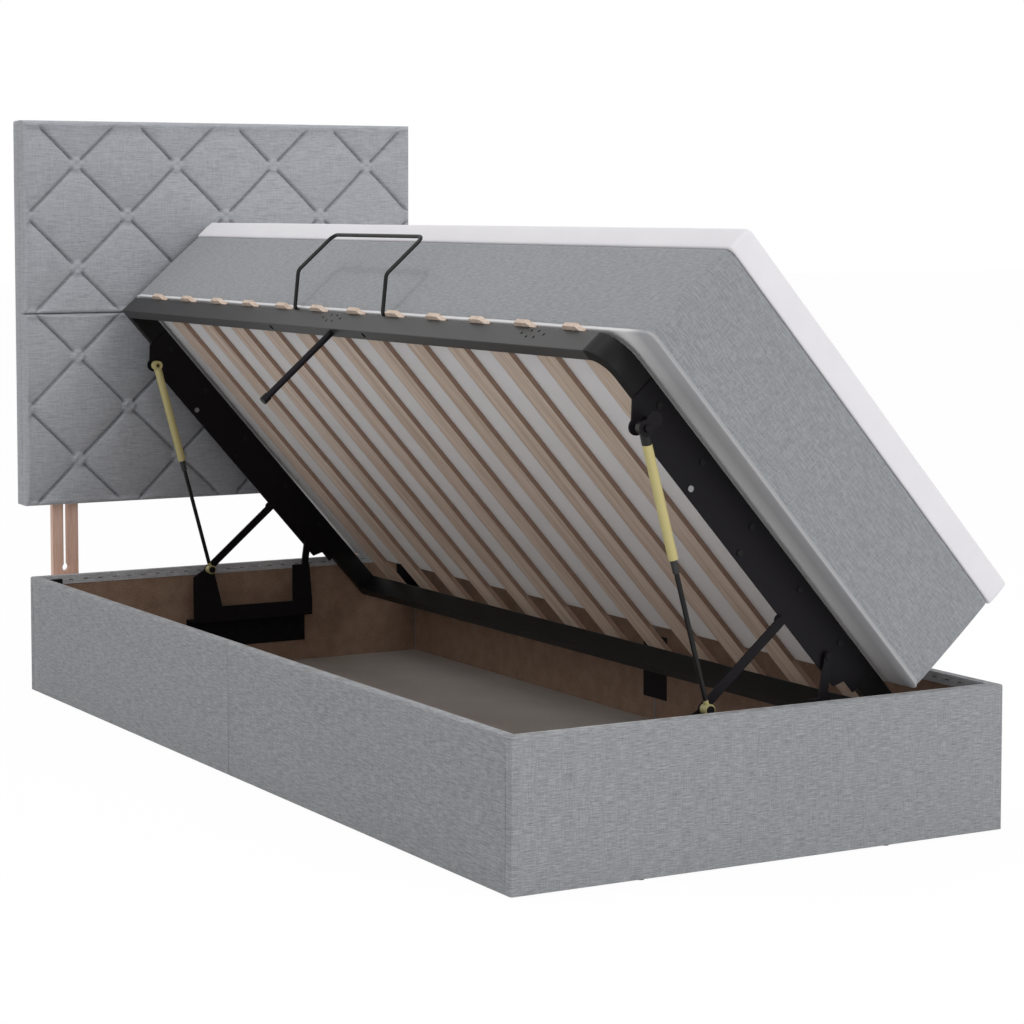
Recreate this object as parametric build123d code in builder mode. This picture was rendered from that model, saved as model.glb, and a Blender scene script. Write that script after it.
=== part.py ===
from build123d import *
from math import atan2, cos, degrees, hypot, pi, radians, sin
import os

os.makedirs("parts", exist_ok=True)

# Ottoman storage bed with its lid open, in millimetres.
# X runs across the bed, Y towards the head, Z up; the origin is on the floor at the middle of the box.

# Box
box_length = 2000
box_width = 900
box_height = 235
board_thickness = 15
cover_thickness = 1.8
rim_thickness = 1.5
fold_thickness = 1.2
fold_height = 18
cover_clearance = 2
cover_seam = 2.4
cover_corner_radius = 5
glide_height = 4
glide_diameter = 12
glide_inset = 60
floor_thickness = 3
floor_clearance = 0.3
batten_width = 40
batten_height = 10
batten_end_inset = 42
staple_length = 10
staple_width = 1.2
staple_proud = 0.6
staple_pitch = 32
staple_drop = 9

# Steel angles in the box corners and joiner plates at the side seams
angle_leg = 45
angle_thickness = 2.5
angle_bottom = 150
angle_top = 228
angle_side_top = 188
joiner_length = 80
joiner_thickness = 1.5
joiner_bottom = 60
joiner_top = 180

# Lid frame of rectangular tube, drawn on the lid's own plane:
# u runs from the near edge of the mattress to the far one, and the slats end at level zero
lid_angle = 48.7
lid_edge_x = -215
lid_edge_z = 807
closed_edge_x = -427
closed_level = 244
tube_height = 40
tube_width = 20
tube_wall = 1.5
frame_near_u = -3
frame_width = 835
frame_end_room = 51
frame_length = box_length - 2 * frame_end_room
frame_shift = 25
bend_radius = 55
near_hole_diameter = 5
near_hole_pitch = 34
near_hole_drop = 14
square_hole = 9

# Slats
slat_count = 12
slat_width = 60
slat_thickness = 8
slat_end_room = 259
slat_pitch = (frame_length - slat_end_room) / (slat_count - 1)
slat_shift = 34
slat_overhang = 8
slat_far_inset = 6
slat_chamfer_length = 14
slat_chamfer_width = 12

# Mattress and topper
mattress_width = 757
mattress_length = box_length
mattress_shift = 3
mattress_thickness = 187
mattress_corner_radius = 26
mattress_wall_inset = 2.5
mattress_roll = 13
mattress_roll_fillet = 5
topper_thickness = 47
topper_crown = 5
topper_edge_radius = 11

# Retainer bow over the near side of the mattress
bow_wire = 7
bow_head_y = 200
bow_foot_y = -153
bow_foot_length = 15
bow_standoff = 52
bow_knee_height = 45
bow_height = 142
bow_bend_radius = 16

# Prop rod under the near rail
prop_diameter = 12
prop_length = 177
prop_tip_length = 14
prop_tip_diameter = 15

# Lift mechanism: pivots in the box and on the lid plane, and the layers beside the rails
main_pivot_x = -77
main_pivot_z = 233
link_end_u = 525
short_pivot_x = 146
short_end_u = 630
short_end_level = -60
strut_end_u = 121
strut_end_level = -78
pin_diameter = 8
pin_clearance = 0.2
layer_gap = 0.5
face_gap = 0.3
plate_thickness = 3
link_thickness = 4
link_width = 15
bracket_thickness = 2.5
bracket_left = -112
bracket_right = 162
bracket_web_bottom = 120
bracket_arm_width = 30
bracket_flange_height = 60
bracket_hump = 32
pivot_tab_radius = 10
rivet_diameter = 13
rivet_head = 2

# Mount plates on the lid rails
plate_start_u = 85
plate_end_u = 712
plate_step_u = 677
plate_top_level = -12
plate_start_level = -56
plate_lower_level = -82
plate_step_level = -62
plate_lobe_radius = 13
plate_link_lobe = 9
bolt_diameter = 12
bolt_head = 5
screw_diameter = 10
screw_head = 2
cheek_thickness = 2.5
cheek_spacer_diameter = 7
cheek_spacer_rise = 19

# Gas struts
strut_diameter = 15.5
strut_wall = 2.1
strut_reach = 207
strut_eye_radius = 9.5
collar_reach = 228
collar_diameter = 11
collar_overlap = 17
rod_diameter = 8
rod_reach = 227
rod_eye_radius = 9
rod_clearance = 0.3

# Headboard
headboard_width = 890
headboard_bottom = 376
headboard_top = 1168
headboard_gap = 24
headboard_front = box_length / 2 + headboard_gap
cushion_crown = 4
cushion_depth = 28
cushion_edge_radius = 9
cushion_side_draw = 2.5
cushion_seam = 0.8
quilt_columns = 4
quilt_rows = 2
quilt_margin_share = 0.98
crease_width = 10
crease_depth = 5
crease_floor = 2
crease_gap = 17
headboard_ply = 8
batten_depth = 22
batten_face = 45
batten_joint = 0.3
back_cover_thickness = 1

# Legs of the headboard, bolted to the box, with a slot that its bolts slide in
leg_inset = 96
leg_centre = headboard_width / 2 - leg_inset
leg_width = 55
leg_thickness = 16
leg_bottom = 20
leg_top = 760
leg_play = 0.3
leg_passage = 2
slot_width = 10
slot_bottom = 236
slot_top = 705
slot_hole_diameter = 16
guide_bolt_diameter = 8
guide_bolt_low = 450
guide_bolt_high = 580
guide_washer_diameter = 24
guide_washer_thickness = 2
guide_nut_thickness = 2.5
spacer_width = 60
spacer_bottom = 50
spacer_top = 205
leg_bolt_low = 80
leg_bolt_high = 175

# Planes and places worked out from the sizes above
half_width = box_width / 2
half_length = box_length / 2
wall = cover_thickness + board_thickness + fold_thickness
inner_x = half_width - wall
inner_y = half_length - wall
board_inner_x = inner_x + fold_thickness
board_inner_y = inner_y + fold_thickness
board_outer_x = half_width - cover_thickness
board_outer_y = half_length - cover_thickness
board_top = box_height - rim_thickness

lid_cos = cos(radians(lid_angle))
lid_sin = sin(radians(lid_angle))
frame_foot = frame_shift - frame_length / 2
frame_head = frame_shift + frame_length / 2
frame_far_u = frame_near_u + frame_width
rail_top = -slat_thickness
rail_bottom = rail_top - tube_height
mattress_head = mattress_shift + mattress_length / 2
mattress_mid_u = mattress_width / 2
mount_faces = {"foot": frame_foot, "head": frame_head - tube_width}
end_signs = {"foot": -1, "head": 1}
side_signs = {"near": -1, "far": 1}
link_start = plate_thickness + screw_head + layer_gap
bracket_start = link_start + link_thickness + layer_gap
strut_centre = bracket_start + bracket_thickness + 2 * layer_gap + strut_diameter / 2


def lid_point(u, level):
    """The place in X and Z of a point on the open lid."""
    return (
        lid_edge_x + u * lid_cos + level * lid_sin,
        lid_edge_z - u * lid_sin + level * lid_cos,
    )


def lid_face(level):
    """The plane along the lid at a level: u across, Y along."""
    x, z = lid_point(0, level)
    return Plane(origin=(x, 0, z), x_dir=(lid_cos, 0, -lid_sin), z_dir=(lid_sin, 0, lid_cos))


def lid_side(y):
    """The upright plane at Y that holds u and level, with its normal towards the foot."""
    return Plane(
        origin=(lid_edge_x, y, lid_edge_z), x_dir=(lid_cos, 0, -lid_sin), z_dir=(0, -1, 0)
    )


def lid_end(u):
    """The plane square to the rails' run across the bed, at u: Y across, level up."""
    x, z = lid_point(u, 0)
    return Plane(origin=(x, 0, z), x_dir=(0, 1, 0), z_dir=(lid_cos, 0, -lid_sin))


def upright(y):
    """The upright plane at Y that holds X and Z, with its normal towards the foot."""
    return Plane.XZ.offset(-y)


def link_end_level():
    """The level of the long link's lid pivot, at the same distance from its box pivot open and closed."""
    open_x, open_z = lid_edge_x - main_pivot_x, lid_edge_z - main_pivot_z
    shut_x, shut_z = closed_edge_x - main_pivot_x, closed_level - main_pivot_z
    along = open_x * lid_cos - open_z * lid_sin
    across = open_x * lid_sin + open_z * lid_cos
    gain = shut_x**2 + shut_z**2 - open_x**2 - open_z**2 + 2 * link_end_u * (shut_x - along)
    return gain / (2 * (across - shut_z))


def short_pivot_height():
    """The height of the short link's box pivot, on the middle line between its two end places."""
    open_x, open_z = lid_point(short_end_u, short_end_level)
    shut_x, shut_z = closed_edge_x + short_end_u, closed_level + short_end_level
    mid_x, mid_z = (open_x + shut_x) / 2, (open_z + shut_z) / 2
    return mid_z - (short_pivot_x - mid_x) * (shut_x - open_x) / (shut_z - open_z)


main_pivot = (main_pivot_x, main_pivot_z)
link_end = (link_end_u, link_end_level())
short_pivot = (short_pivot_x, short_pivot_height())
short_end = (short_end_u, short_end_level)
strut_end = (strut_end_u, strut_end_level)
strut_top = lid_point(*strut_end)


def span(start, end):
    """The middle, length and slope of a straight bar between two points of X and Z."""
    run, rise = end[0] - start[0], end[1] - start[1]
    middle = ((start[0] + end[0]) / 2, (start[1] + end[1]) / 2)
    return middle, hypot(run, rise), degrees(atan2(rise, run))


# Box boards and their covers


def side_board(side, end):
    with BuildPart() as board:
        with BuildSketch(Plane.XY.offset(glide_height)):
            with Locations((side * (board_inner_x + board_outer_x) / 2, end * board_inner_y / 2)):
                Rectangle(board_thickness, board_inner_y)
        extrude(amount=board_top - glide_height)
    return board.part


def end_board(end):
    with BuildPart() as board:
        with BuildSketch(Plane.XY.offset(glide_height)):
            with Locations((0, end * (board_inner_y + board_outer_y) / 2)):
                Rectangle(2 * board_outer_x, board_thickness)
        extrude(amount=board_top - glide_height)
    return board.part


for side_name, side in side_signs.items():
    for end_name, end in end_signs.items():
        side_piece = side_board(side, end)
        side_piece.label = f"{side_name}_board_{end_name}"
        export_step(side_piece, f"parts/{side_name}_board_{end_name}.step")

for end_name, end in end_signs.items():
    end_piece = end_board(end)
    end_piece.label = f"{end_name}_board"
    export_step(end_piece, f"parts/{end_name}_board.step")


def side_cover(side):
    """Fabric round a side: down the outside, over the rim and folded inside, one piece for each board."""
    with BuildPart() as cover:
        for end in (-1, 1):
            start = board_inner_y if end > 0 else -cover_seam / 2
            with BuildSketch(upright(start)):
                with BuildLine():
                    Polyline(
                        (side * half_width, cover_clearance),
                        (side * half_width, box_height),
                        (side * inner_x, box_height),
                        (side * inner_x, box_height - fold_height),
                        (side * board_inner_x, box_height - fold_height),
                        (side * board_inner_x, board_top),
                        (side * board_outer_x, board_top),
                        (side * board_outer_x, cover_clearance),
                        close=True,
                    )
                make_face()
            extrude(amount=board_inner_y - cover_seam / 2)
    return cover.part


def end_cover(end):
    """Fabric round an end board and its two upright ends, with the fold inside between the sides."""
    with BuildPart() as cover:
        with BuildSketch(Plane.XY.offset(cover_clearance)):
            with Locations((0, end * (board_inner_y + half_length) / 2)):
                Rectangle(box_width, half_length - board_inner_y)
        extrude(amount=box_height - cover_clearance)
        with BuildSketch(Plane.XY.offset(cover_clearance)):
            with Locations((0, end * (board_inner_y + board_outer_y) / 2)):
                Rectangle(2 * board_outer_x, board_thickness)
        extrude(amount=board_top - cover_clearance, mode=Mode.SUBTRACT)
        outer = cover.edges().filter_by(Axis.Z).filter_by(
            lambda edge: abs(abs(edge.center().X) - half_width) < fold_thickness
            and abs(abs(edge.center().Y) - half_length) < fold_thickness
        )
        fillet(outer, radius=cover_corner_radius)
        with BuildSketch(Plane.XY.offset(box_height - fold_height)):
            with Locations((0, end * (inner_y + board_inner_y) / 2)):
                Rectangle(2 * inner_x, fold_thickness)
        extrude(amount=fold_height)
    return cover.part


for side_name, side in side_signs.items():
    side_fabric = side_cover(side)
    side_fabric.label = f"{side_name}_cover"
    export_step(side_fabric, f"parts/{side_name}_cover.step")

for end_name, end in end_signs.items():
    end_fabric = end_cover(end)
    end_fabric.label = f"{end_name}_cover"
    export_step(end_fabric, f"parts/{end_name}_cover.step")

# Staples in the fold inside the rim
staple_level = box_height - staple_drop
side_staples = int((2 * inner_y - 2 * angle_leg) / staple_pitch)
end_staples = int((2 * inner_x - 2 * angle_leg) / staple_pitch)
side_places = []
for index in range(side_staples):
    staple_y = (index - (side_staples - 1) / 2) * staple_pitch
    side_places += [(side * (inner_x - staple_proud / 2), staple_y, staple_level) for side in (-1, 1)]
end_places = []
for index in range(end_staples):
    staple_x = (index - (end_staples - 1) / 2) * staple_pitch
    end_places += [(staple_x, end * (inner_y - staple_proud / 2), staple_level) for end in (-1, 1)]
with BuildPart() as rim_staples:
    with Locations(*side_places):
        Box(staple_proud, staple_length, staple_width)
    with Locations(*end_places):
        Box(staple_length, staple_proud, staple_width)
rim_staples.part.label = "rim_staples"
export_step(rim_staples.part, "parts/rim_staples.step")

# Corner angles: the leg on the end reaches up to the rim, the leg on the side stays below the closed lid
with BuildPart() as panel_brackets:
    for side in (-1, 1):
        for end in (-1, 1):
            with BuildSketch(Plane.XY.offset(angle_bottom)):
                with Locations((side * (inner_x - angle_leg / 2), end * (inner_y - angle_thickness / 2))):
                    Rectangle(angle_leg, angle_thickness)
            extrude(amount=angle_top - angle_bottom)
            with BuildSketch(Plane.XY.offset(angle_bottom)):
                with Locations((side * (inner_x - angle_thickness / 2), end * (inner_y - angle_leg / 2))):
                    Rectangle(angle_thickness, angle_leg)
            extrude(amount=angle_side_top - angle_bottom)
        with BuildSketch(Plane.XY.offset(joiner_bottom)):
            with Locations((side * (board_inner_x - joiner_thickness / 2), 0)):
                Rectangle(joiner_thickness, joiner_length)
        extrude(amount=joiner_top - joiner_bottom)
panel_brackets.part.label = "panel_brackets"
export_step(panel_brackets.part, "parts/panel_brackets.step")

# Floor of the box
batten_places = [
    share * (board_inner_y - batten_end_inset) for share in (-1, -1 / 2, 0, 1 / 2, 1)
]
with BuildPart() as floor_battens:
    with BuildSketch(Plane.XY.offset(glide_height)):
        with Locations(*[(0, y) for y in batten_places]):
            Rectangle(2 * board_inner_x, batten_width)
    extrude(amount=batten_height)
floor_battens.part.label = "floor_battens"
export_step(floor_battens.part, "parts/floor_battens.step")

floor_panel_length = board_inner_y - 2 * floor_clearance
with BuildPart() as floor_panels:
    with BuildSketch(Plane.XY.offset(glide_height + batten_height)):
        with Locations(*[(0, end * board_inner_y / 2) for end in (-1, 1)]):
            Rectangle(2 * (board_inner_x - floor_clearance), floor_panel_length)
    extrude(amount=floor_thickness)
floor_panels.part.label = "floor_panels"
export_step(floor_panels.part, "parts/floor_panels.step")

board_middle_x = (board_inner_x + board_outer_x) / 2
board_middle_y = (board_inner_y + board_outer_y) / 2
glide_places = [(0, y) for y in batten_places[1:-1]]
for side in (-1, 1):
    for end in (-1, 1):
        glide_places.append((side * board_middle_x, end * glide_inset))
        glide_places.append((side * board_middle_x, end * half_length / 2))
        glide_places.append((side * board_middle_x, end * (board_inner_y - glide_inset)))
        glide_places.append((side * half_width / 2, end * board_middle_y))
with BuildPart() as glide_feet:
    with BuildSketch():
        with Locations(*glide_places):
            Circle(glide_diameter / 2)
    extrude(amount=glide_height)
glide_feet.part.label = "glide_feet"
export_step(glide_feet.part, "parts/glide_feet.step")

# Box brackets: an upright plate with the two pivot arms, a web under the closed lid and a flange
arm_half = bracket_arm_width / 2
bracket_arm_foot = bracket_web_bottom + bracket_hump
flange_bottom = bracket_web_bottom - bracket_flange_height


def box_bracket(end_name):
    mount = mount_faces[end_name]
    end = end_signs[end_name]
    plate_face = mount - bracket_start
    far_face = plate_face - bracket_thickness
    near_face = far_face if end < 0 else plate_face
    web_length = board_inner_y - abs(near_face)
    with BuildPart() as bracket:
        with BuildSketch(upright(plate_face)):
            with BuildLine():
                Polyline(
                    (bracket_left, bracket_web_bottom),
                    (bracket_left, main_pivot_z - arm_half),
                    (main_pivot_x - pivot_tab_radius, main_pivot_z),
                    (main_pivot_x + pivot_tab_radius, main_pivot_z),
                    (main_pivot_x + 2 * arm_half, bracket_arm_foot),
                    (short_pivot_x - 2 * arm_half, bracket_arm_foot),
                    (short_pivot_x - 2 * arm_half, short_pivot[1] + pivot_tab_radius / 2),
                    (short_pivot_x, short_pivot[1] + pivot_tab_radius / 2),
                    (short_pivot_x + pivot_tab_radius, short_pivot[1]),
                    (bracket_right, bracket_arm_foot),
                    (bracket_right, bracket_web_bottom),
                    close=True,
                )
            make_face()
            with Locations(main_pivot, short_pivot):
                Circle(pivot_tab_radius)
        extrude(amount=bracket_thickness)
        with BuildSketch(Plane.XY.offset(bracket_web_bottom)):
            with Locations(((bracket_left + bracket_right) / 2, near_face + end * web_length / 2)):
                Rectangle(bracket_right - bracket_left, web_length)
        extrude(amount=bracket_thickness)
        with BuildSketch(Plane.XY.offset(flange_bottom)):
            flange_y = end * (board_inner_y - bracket_thickness / 2)
            with Locations(((bracket_left + bracket_right) / 2, flange_y)):
                Rectangle(bracket_right - bracket_left, bracket_thickness)
        extrude(amount=bracket_flange_height)
        with BuildSketch(upright(mount - link_start + face_gap)):
            with Locations(main_pivot, short_pivot):
                Circle(pin_diameter / 2)
        extrude(amount=bracket_start - link_start + face_gap)
        strut_side = strut_diameter / 2 + face_gap
        with BuildSketch(upright(far_face)):
            with Locations(main_pivot):
                Circle(pin_diameter / 2)
        extrude(amount=strut_centre + strut_side + rivet_head - bracket_start - bracket_thickness)
        with BuildSketch(upright(mount - strut_centre - strut_side)):
            with Locations(main_pivot):
                Circle(rivet_diameter / 2)
        extrude(amount=rivet_head)
    return bracket.part


for end_name in end_signs:
    bracket_piece = box_bracket(end_name)
    bracket_piece.label = f"box_bracket_{end_name}"
    export_step(bracket_piece, f"parts/box_bracket_{end_name}.step")

screw_height = flange_bottom + bracket_flange_height / 2
screw_shares = (1 / 8, 3 / 8, 5 / 8, 7 / 8)
screw_places = [bracket_left + share * (bracket_right - bracket_left) for share in screw_shares]
flange_face = board_inner_y - bracket_thickness
with BuildPart() as bracket_screws:
    for start in (flange_face, screw_head - flange_face):
        with BuildSketch(upright(start)):
            with Locations(*[(x, screw_height) for x in screw_places]):
                Circle(screw_diameter / 2)
        extrude(amount=screw_head)
bracket_screws.part.label = "bracket_screws"
export_step(bracket_screws.part, "parts/bracket_screws.step")

# Lid frame


def tube_section():
    """The hollow section of the rails, drawn in the sketch that is open."""
    Rectangle(tube_width, tube_height)
    Rectangle(tube_width - 2 * tube_wall, tube_height - 2 * tube_wall, mode=Mode.SUBTRACT)


rail_level = rail_top - tube_height / 2
near_rail_u = frame_near_u + tube_width / 2
far_rail_u = frame_far_u - tube_width / 2
bend_centre = frame_foot + bend_radius
hole_y = frame_foot + frame_length / 8
square_hole_ys = (bow_head_y + bow_standoff, bow_foot_y + bow_standoff / 2)
hole_shares = ((-1, 0), (-1 / 3, 1 / 2), (1 / 3, 1 / 2), (1, 0), (-1 / 3, -1 / 2), (1 / 3, -1 / 2))


def long_rail(u):
    """A rail along the bed, from the bend at the foot to the head."""
    with BuildPart() as rail:
        with BuildSketch(lid_side(frame_head)):
            with Locations((u, rail_level)):
                tube_section()
        extrude(amount=frame_head - bend_centre)
    return rail.part


with BuildPart() as near_rail:
    add(long_rail(near_rail_u))
    with BuildSketch(lid_end(frame_near_u - tube_wall)):
        for group_y in (hole_y, frame_shift):
            for share_y, share_z in hole_shares:
                hole_place = (
                    group_y + share_y * near_hole_pitch,
                    rail_top - near_hole_drop + share_z * near_hole_drop,
                )
                with Locations(hole_place):
                    Circle(near_hole_diameter / 2)
    extrude(amount=3 * tube_wall, mode=Mode.SUBTRACT)
    with BuildSketch(lid_face(rail_bottom - tube_wall)):
        with Locations(*[(near_rail_u, y) for y in square_hole_ys]):
            Rectangle(square_hole, square_hole)
    extrude(amount=3 * tube_wall, mode=Mode.SUBTRACT)
near_rail.part.label = "near_rail"
export_step(near_rail.part, "parts/near_rail.step")

with BuildPart() as far_rail:
    add(long_rail(far_rail_u))
far_rail.part.label = "far_rail"
export_step(far_rail.part, "parts/far_rail.step")

with BuildPart() as head_rail:
    with BuildSketch(lid_end(frame_near_u + tube_width)):
        with Locations((frame_head - tube_width / 2, rail_level)):
            tube_section()
    extrude(amount=frame_width - 2 * tube_width)
head_rail.part.label = "head_rail"
export_step(head_rail.part, "parts/head_rail.step")

# The foot rail is one tube with a round bend at each end
outer_bend, inner_bend = bend_radius, bend_radius - tube_width


def bent_outline(inset):
    """The foot rail from above, drawn in by an inset on both faces."""
    u0, u1 = frame_near_u + inset, frame_far_u - inset
    u2, u3 = frame_far_u - tube_width + inset, frame_near_u + tube_width - inset
    y0, y1 = frame_foot + inset, frame_foot + tube_width - inset
    outer, inner = outer_bend - inset, inner_bend + inset
    diagonal = 1 - cos(pi / 4)
    Line((u3, bend_centre), (u0, bend_centre))
    ThreePointArc((u0, bend_centre), (u0 + outer * diagonal, y0 + outer * diagonal), (u0 + outer, y0))
    Line((u0 + outer, y0), (u1 - outer, y0))
    ThreePointArc((u1 - outer, y0), (u1 - outer * diagonal, y0 + outer * diagonal), (u1, bend_centre))
    Line((u1, bend_centre), (u2, bend_centre))
    ThreePointArc((u2, bend_centre), (u2 - inner * diagonal, y1 + inner * diagonal), (u2 - inner, y1))
    Line((u2 - inner, y1), (u3 + inner, y1))
    ThreePointArc((u3 + inner, y1), (u3 + inner * diagonal, y1 + inner * diagonal), (u3, bend_centre))


with BuildPart() as foot_rail:
    with BuildSketch(lid_face(rail_bottom)):
        with BuildLine():
            bent_outline(0)
        make_face()
    extrude(amount=tube_height)
    with BuildSketch(lid_face(rail_bottom + tube_wall)):
        with BuildLine():
            bent_outline(tube_wall)
        make_face()
    extrude(amount=tube_height - 2 * tube_wall, mode=Mode.SUBTRACT)
foot_rail.part.label = "foot_rail"
export_step(foot_rail.part, "parts/foot_rail.step")

# Slats: bevelled near ends, the far ends on the far rail
slat_near = frame_near_u - slat_overhang
slat_far = frame_far_u - slat_far_inset


def slat(y):
    half = slat_width / 2
    with BuildPart() as strip:
        with BuildSketch(lid_face(-slat_thickness)):
            with BuildLine():
                Polyline(
                    (slat_near, y - half + slat_chamfer_width),
                    (slat_near, y + half - slat_chamfer_width),
                    (slat_near + slat_chamfer_length, y + half),
                    (slat_far, y + half),
                    (slat_far, y - half),
                    (slat_near + slat_chamfer_length, y - half),
                    close=True,
                )
            make_face()
        extrude(amount=slat_thickness)
    return strip.part


for index in range(slat_count):
    slat_piece = slat(slat_shift + (index - (slat_count - 1) / 2) * slat_pitch)
    slat_piece.label = f"slat_{index + 1:02d}"
    export_step(slat_piece, f"parts/slat_{index + 1:02d}.step")

# Mount plates of the lid, with the pins that the links and struts turn on
cheek_start = strut_centre + strut_diameter / 2 + layer_gap


def lid_plate(end_name):
    mount = mount_faces[end_name]
    lobe_left = strut_end_u - plate_lobe_radius
    with BuildPart() as plate:
        with BuildSketch(lid_side(mount)):
            with BuildLine():
                Polyline(
                    (plate_start_u, plate_top_level),
                    (plate_start_u, plate_start_level),
                    (lobe_left, strut_end_level),
                    (strut_end_u, strut_end_level),
                    (strut_end_u + 2 * plate_lobe_radius, plate_lower_level),
                    (plate_step_u, plate_lower_level),
                    (plate_step_u + plate_link_lobe, plate_step_level),
                    (plate_end_u, plate_step_level),
                    (plate_end_u, plate_top_level),
                    close=True,
                )
            make_face()
            with Locations(strut_end):
                Circle(plate_lobe_radius)
            with Locations(link_end):
                Circle(plate_link_lobe)
        extrude(amount=plate_thickness)
        with BuildSketch(lid_side(mount - plate_thickness)):
            with Locations(link_end):
                Circle(pin_diameter / 2)
        extrude(amount=bracket_start - plate_thickness - face_gap)
        with BuildSketch(lid_side(mount - plate_thickness)):
            with Locations(strut_end):
                Circle(pin_diameter / 2)
        extrude(amount=strut_centre - strut_diameter / 2 - face_gap - plate_thickness)
        if end_name == "foot":
            spacer_place = (strut_end_u, strut_end_level + cheek_spacer_rise)
            with BuildSketch(lid_side(mount - plate_thickness)):
                with Locations(spacer_place):
                    Circle(cheek_spacer_diameter / 2)
            extrude(amount=cheek_start - plate_thickness)
            with BuildSketch(lid_side(mount - cheek_start)):
                with Locations(spacer_place, strut_end):
                    Circle(plate_lobe_radius)
            extrude(amount=cheek_thickness)
            with BuildSketch(lid_side(mount - cheek_start - cheek_thickness)):
                with Locations(strut_end):
                    RegularPolygon(bolt_diameter / 2, 6)
            extrude(amount=bolt_head)
    return plate.part


for end_name in end_signs:
    plate_piece = lid_plate(end_name)
    plate_piece.label = f"lid_plate_{end_name}"
    export_step(plate_piece, f"parts/lid_plate_{end_name}.step")

# Bolts through the plates, and screws into the rails behind them
bolt_us = (plate_start_u + strut_end_u + 3 * plate_lobe_radius + bolt_diameter, 3 * link_end_u / 4)
bolt_level = plate_lower_level + bolt_diameter
plate_screw_shares = (1 / 16, 1 / 4, 15 / 32, 11 / 16, 7 / 8)
plate_screw_us = [plate_start_u + share * (plate_end_u - plate_start_u) for share in plate_screw_shares]
with BuildPart() as lid_plate_bolts:
    for end_name in end_signs:
        with BuildSketch(lid_side(mount_faces[end_name] - plate_thickness)):
            with Locations(*[(u, bolt_level) for u in bolt_us]):
                Circle(screw_diameter / 2)
            with Locations(*[(u, rail_level) for u in plate_screw_us]):
                Circle(screw_diameter / 2)
        extrude(amount=screw_head)
lid_plate_bolts.part.label = "lid_plate_bolts"
export_step(lid_plate_bolts.part, "parts/lid_plate_bolts.step")

# Retainer bow: a bent wire that lies on the near rail, stands out and up beside the mattress
bow_level = rail_top + bow_wire / 2
bow_start = lid_point(frame_near_u + bow_foot_length, bow_level)
bow_root = lid_point(frame_near_u - bow_wire / 2, bow_level)
bow_knee = lid_point(-bow_standoff, bow_knee_height)
bow_top = lid_point(-bow_standoff, bow_height)
bow_route = [(x, bow_foot_y, z) for x, z in (bow_start, bow_root, bow_knee, bow_top)]
bow_route += [(x, bow_head_y, z) for x, z in (bow_top, bow_knee, bow_root, bow_start)]
bow_radii = [bow_wire, bow_bend_radius, bow_bend_radius, bow_bend_radius, bow_bend_radius, bow_wire]
with BuildPart() as retainer_bow:
    with BuildLine() as bow_line:
        FilletPolyline(*bow_route, radius=bow_radii)
    with BuildSketch(Plane(origin=bow_line.line @ 0, z_dir=bow_line.line % 0)):
        Circle(bow_wire / 2)
    sweep()
retainer_bow.part.label = "retainer_bow"
export_step(retainer_bow.part, "parts/retainer_bow.step")

# Prop rod with a rubber tip, square to the lid under the near rail
with BuildPart() as prop_rod:
    with BuildSketch(lid_face(rail_bottom - prop_length)):
        with Locations((near_rail_u, 0)):
            Circle(prop_diameter / 2)
    extrude(amount=prop_length)
    with BuildSketch(lid_face(rail_bottom - prop_length)):
        with Locations((near_rail_u, 0)):
            Circle(prop_tip_diameter / 2)
    extrude(amount=prop_tip_length)
prop_rod.part.label = "prop_rod"
export_step(prop_rod.part, "parts/prop_rod.step")

# Mattress: a rounded block between two rolls of piping
wall_width = mattress_width - 2 * mattress_wall_inset
wall_length = mattress_length - 2 * mattress_wall_inset
with BuildPart() as mattress:
    for level in (0, mattress_thickness - mattress_roll):
        with BuildSketch(lid_face(level)):
            with Locations((mattress_mid_u, mattress_shift)):
                RectangleRounded(mattress_width, mattress_length, mattress_corner_radius)
        extrude(amount=mattress_roll)
    roll_edges = mattress.edges().filter_by(
        lambda edge: edge.length > mattress_width / 2 or edge.geom_type == GeomType.CIRCLE
    )
    fillet(roll_edges, radius=mattress_roll_fillet)
    with BuildSketch(lid_face(mattress_roll_fillet)):
        with Locations((mattress_mid_u, mattress_shift)):
            RectangleRounded(wall_width, wall_length, mattress_corner_radius - mattress_wall_inset)
    extrude(amount=mattress_thickness - 2 * mattress_roll_fillet)
mattress.part.label = "mattress"
export_step(mattress.part, "parts/mattress.step")


def crowned_profile(half_span, depth, crown, edge_radius):
    """A cross-section with its flat back on zero and an arc along its front, with rounded shoulders."""
    shoulder = depth - crown
    turn = edge_radius * (1 - cos(pi / 4))
    Line((-half_span, 0), (half_span, 0))
    Line((half_span, 0), (half_span, shoulder - edge_radius))
    ThreePointArc(
        (half_span, shoulder - edge_radius),
        (half_span - turn, shoulder - turn),
        (half_span - edge_radius, shoulder),
    )
    ThreePointArc((half_span - edge_radius, shoulder), (0, depth), (edge_radius - half_span, shoulder))
    ThreePointArc(
        (edge_radius - half_span, shoulder),
        (turn - half_span, shoulder - turn),
        (-half_span, shoulder - edge_radius),
    )
    Line((-half_span, shoulder - edge_radius), (-half_span, 0))


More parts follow.
